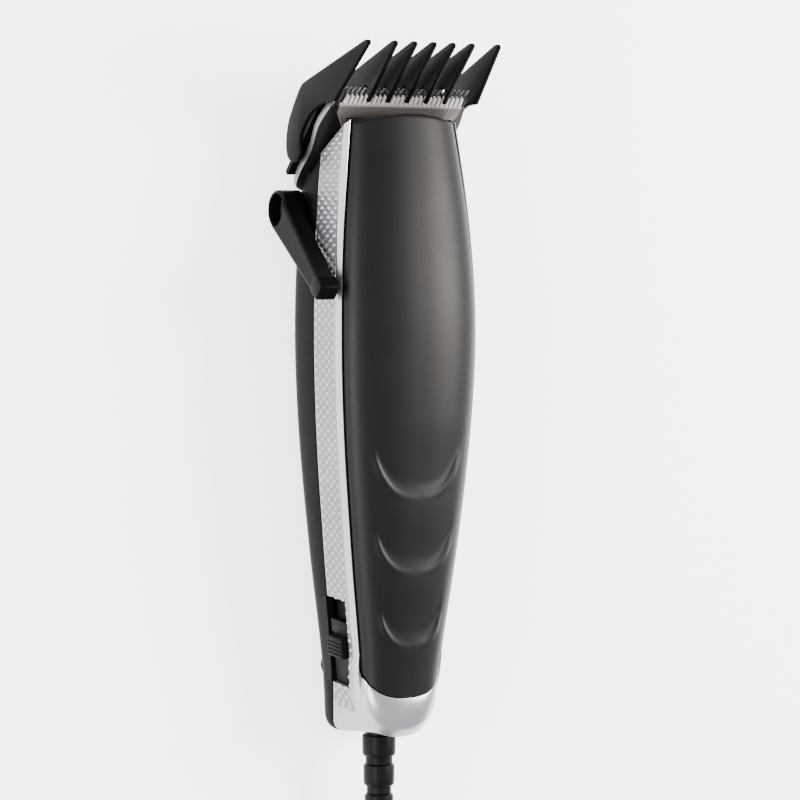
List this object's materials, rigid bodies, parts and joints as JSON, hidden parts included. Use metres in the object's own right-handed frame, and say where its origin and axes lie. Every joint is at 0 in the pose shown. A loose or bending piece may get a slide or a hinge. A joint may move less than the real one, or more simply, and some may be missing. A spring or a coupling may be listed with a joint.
{
  "type": "hair clipper",
  "caption": "Corded hair clipper with crowned black cover, bright knurled side frame, taper lever, slide switch, finned guide comb and coiled mains lead.",
  "frame": {"origin": "on the flat back of the case, on its centre line, 95 mm from the tail", "axes": "+Y towards the blade, +Z out of the crowned cover, -X towards the taper lever; the clipper lies on its back"},
  "size_m": [0.0806, 0.369, 0.0487],
  "materials": {
    "cover_black": "soft-touch satin",
    "housing_black": "fine moulded texture",
    "comb_black": "smooth moulded",
    "silver_trim": "bright metallised, knurled sides",
    "steel": "ground",
    "iron": "laminated",
    "copper": "enamelled wire",
    "ivory_plastic": "moulded",
    "cord_jacket": "matt flexible",
    "brass": "plain",
    "brown_wire": "insulation",
    "blue_wire": "insulation"
  },
  "bodies": {
    "case": {"top_cover": "cover_black", "silver_frame": "silver_trim", "bottom_housing": "housing_black", "nose_insert": "housing_black", "fixed_blade": "steel", "blade_screw_left": "steel", "blade_screw_right": "steel", "motor_core": "iron", "coil_bobbin": "ivory_plastic", "coil_winding": "copper", "core_screw_1": "steel", "core_screw_2": "steel", "armature_spring_left": "steel", "armature_spring_right": "steel", "spring_clamp": "ivory_plastic", "clamp_screw": "steel", "switch_bezel": "housing_black", "switch_body": "housing_black", "switch_contact": "brass", "strain_relief": "cord_jacket", "power_cord": "cord_jacket", "plug_cord": "cord_jacket", "cord_coil": "cord_jacket", "cord_tie": "housing_black", "plug_body": "housing_black", "plug_pin_left": "steel", "plug_pin_right": "steel", "cord_clamp": "ivory_plastic", "cord_clamp_screw": "steel", "lead_wire_coil": "brown_wire", "lead_wire_switch": "blue_wire", "housing_screw_1": "steel", "housing_screw_2": "steel", "housing_screw_3": "steel", "housing_screw_4": "steel"},
    "comb": {"guide_comb": "comb_black"},
    "lever": {"taper_lever": "housing_black", "lever_pivot_screw": "steel", "lever_cam": "ivory_plastic"},
    "carriage": {"taper_carriage": "housing_black", "tension_spring": "steel"},
    "cutter": {"moving_blade": "steel", "cutter_yoke": "housing_black"},
    "armature_arm": {"armature": "iron"},
    "adjuster": {"power_screw": "housing_black"},
    "switch_button": {"switch_slider": "housing_black"}
  },
  "joints": [
    {"name": "comb_slide", "type": "slide", "parent": "case", "child": "comb", "axis": [0, 0.7071, 0.7071], "range_m": [0, 0.03]},
    {"name": "taper_lever_turn", "type": "hinge", "parent": "case", "child": "lever", "pos_m": [-0.0256, 0.0604, 0.008], "axis": [1, 0, 0], "range_deg": [-15, 30]},
    {"name": "carriage_slide", "type": "slide", "parent": "case", "child": "carriage", "axis": [0, 0.7071, 0.7071], "range_m": [-0.0024, 0.0012]},
    {"name": "cutter_slide", "type": "slide", "parent": "carriage", "child": "cutter", "axis": [1, 0, 0], "range_m": [-0.0014, 0.0014]},
    {"name": "armature_swing", "type": "hinge", "parent": "case", "child": "armature_arm", "pos_m": [0.009, -0.037, 0.014], "axis": [0, 0, 1], "range_deg": [-0.65, 0.65]},
    {"name": "power_screw_turn", "type": "hinge", "parent": "case", "child": "adjuster", "pos_m": [0.0235, 0.02, 0.0134], "axis": [1, 0, 0], "range_deg": [-90, 90]},
    {"name": "switch_slide", "type": "slide", "parent": "case", "child": "switch_button", "axis": [-0.1161, 0.9903, 0.0767], "range_m": [0, 0.0055]}
  ],
  "couplings": [
    {"joint": "carriage_slide", "follows": "taper_lever_turn", "m_per_rad": -0.0042},
    {"joint": "cutter_slide", "follows": "armature_swing", "m_per_rad": -0.1205}
  ]
}
